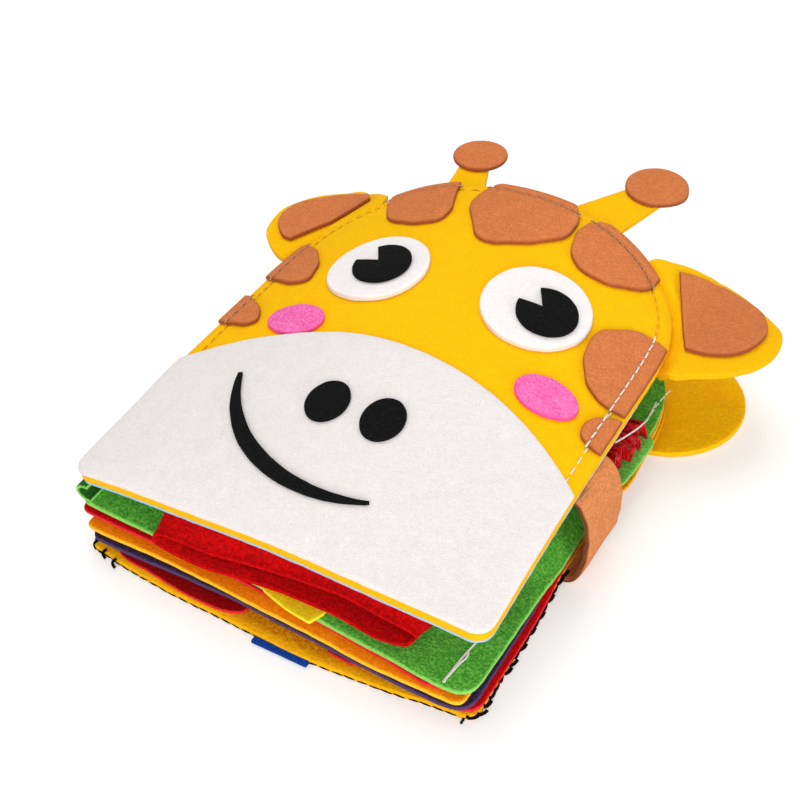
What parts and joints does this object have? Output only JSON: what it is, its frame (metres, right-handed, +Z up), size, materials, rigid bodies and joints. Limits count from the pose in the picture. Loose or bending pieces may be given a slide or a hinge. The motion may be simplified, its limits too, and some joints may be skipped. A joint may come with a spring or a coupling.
{
  "type": "cloth book",
  "caption": "Felt activity book cut as a giraffe's head, with turning felt leaves, sewn-on face pieces and a closure strap.",
  "frame": {"origin": "on the table, under the middle of the chin's edge of the front board", "axes": "+X from the spine to the fore-edge, +Y from the chin to the horns, +Z up out of the face"},
  "size_m": [0.277, 0.3129, 0.0812],
  "materials": {
    "yellow": "felt",
    "white": "felt",
    "brown": "felt",
    "black": "felt",
    "pink": "felt",
    "light_blue": "felt",
    "green": "felt",
    "red": "felt",
    "red_satin": "satin ribbon",
    "orange": "felt",
    "amber": "felt",
    "purple": "felt",
    "blue": "felt",
    "tape": "hook-and-loop tape"
  },
  "bodies": {
    "back": {"back_cover": "amber", "back_left_ear": "amber", "back_right_ear": "amber", "red_half_round": "red", "red_corner_piece": "red", "blue_tab": "blue", "back_loop_tape": "tape"},
    "spine": {"spine_strip": "yellow"},
    "front_cover": {"front_board": "yellow", "front_lining": "light_blue", "muzzle": "white", "smile": "black", "cover_hem": "yellow", "left_nostril": "black", "left_cheek": "pink", "left_eye_white": "white", "left_pupil": "black", "left_ear": "yellow", "left_ear_patch": "brown", "left_horn_stem": "yellow", "left_horn_tip": "brown", "right_nostril": "black", "right_cheek": "pink", "right_eye_white": "white", "right_pupil": "black", "right_ear": "yellow", "right_ear_patch": "brown", "right_horn_stem": "yellow", "right_horn_tip": "brown", "spot_brow_left": "brown", "spot_brow_middle": "brown", "spot_brow_right": "brown", "spot_side_right": "brown", "spot_jaw_right": "brown", "spot_side_left": "brown", "spot_jaw_left": "brown"},
    "strap": {"closure_strap": "brown", "strap_hook_tape": "tape"},
    "page_1": {"page_1_back": "red", "page_1_front": "green", "page_1_fold": "green", "red_pouch": "red", "red_ribbon": "red_satin", "green_flap": "green", "yellow_flap": "amber"},
    "page_2": {"page_2_back": "amber", "page_2_front": "orange", "page_2_hem": "orange"},
    "page_3": {"page_3_back": "red", "page_3_front": "purple", "page_3_hem": "purple"}
  },
  "joints": [
    {"name": "front_cover_turn", "type": "hinge", "parent": "spine", "child": "front_cover", "pos_m": [-0.102, 0.045, 0.0358], "axis": [0, -1, 0], "range_deg": [0, 85], "deforming": ["left_ear", "left_ear_patch"]},
    {"name": "spine_fold", "type": "hinge", "parent": "back", "child": "spine", "pos_m": [-0.102, 0.045, 0.0015], "axis": [0, -1, 0], "range_deg": [0, 70]},
    {"name": "page_1_turn", "type": "hinge", "parent": "spine", "child": "page_1", "pos_m": [-0.0947, 0.045, 0.0275], "axis": [0, -1, 0], "range_deg": [0, 45]},
    {"name": "page_2_turn", "type": "hinge", "parent": "spine", "child": "page_2", "pos_m": [-0.09785, 0.045, 0.01295], "axis": [0, -1, 0], "range_deg": [0, 5]},
    {"name": "page_3_turn", "type": "hinge", "parent": "spine", "child": "page_3", "pos_m": [-0.09805, 0.045, 0.00765], "axis": [0, -1, 0], "range_deg": [-35, 0]},
    {"name": "strap_swing", "type": "hinge", "parent": "front_cover", "child": "strap", "pos_m": [0.0975, 0.08, 0.05126], "axis": [0, -1, 0], "range_deg": [0, 100], "deforming": ["closure_strap", "strap_hook_tape"]}
  ],
  "couplings": [
    {"joint": "spine_fold", "follows": "front_cover_turn", "ratio": 0.82353},
    {"joint": "page_1_turn", "follows": "front_cover_turn", "ratio": 0.52941},
    {"joint": "page_2_turn", "follows": "front_cover_turn", "ratio": 0.058823},
    {"joint": "page_3_turn", "follows": "front_cover_turn", "ratio": -0.41176}
  ]
}
